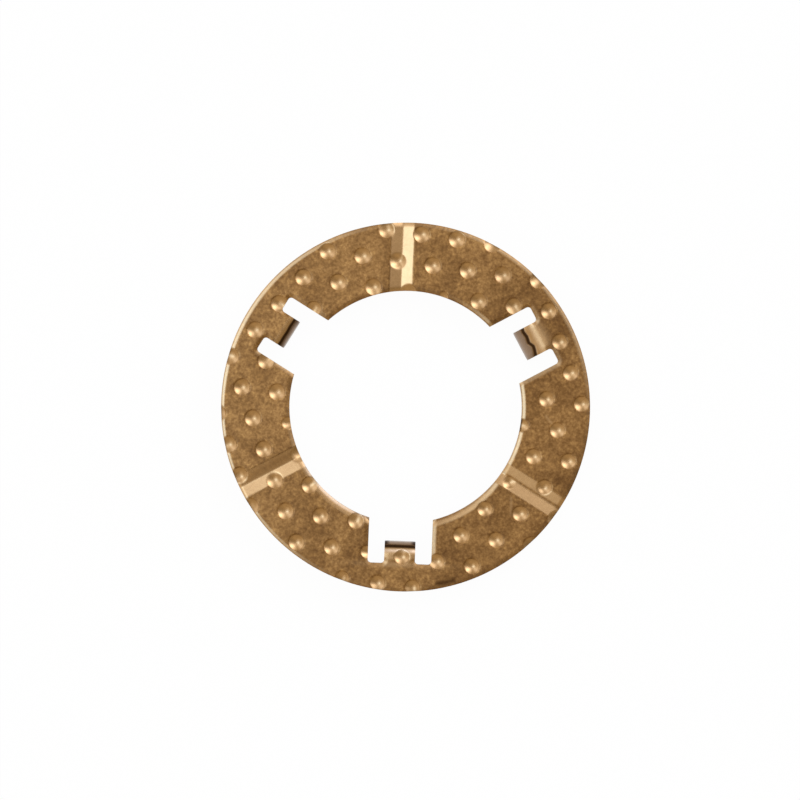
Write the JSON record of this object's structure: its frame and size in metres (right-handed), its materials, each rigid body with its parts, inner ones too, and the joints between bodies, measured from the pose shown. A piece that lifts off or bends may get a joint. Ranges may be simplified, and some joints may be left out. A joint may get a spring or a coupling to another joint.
{
  "type": "thrust washer",
  "caption": "Flat bronze thrust washer with ball indents and oil grooves in its running face, and locating tabs folded down from notches in its bore.",
  "frame": {"origin": "on the ring's axis, at the seat face on the back of the ring", "axes": "+Z along the bore's axis, out of the indented running face; one tab lies on -Y"},
  "size_m": [0.066, 0.066, 0.0058],
  "materials": {
    "bronze": "rolled bronze strip, dull and mottled, with bright rolled edges"
  },
  "bodies": {
    "root": {"thrust_washer": "bronze"}
  },
  "joints": []
}
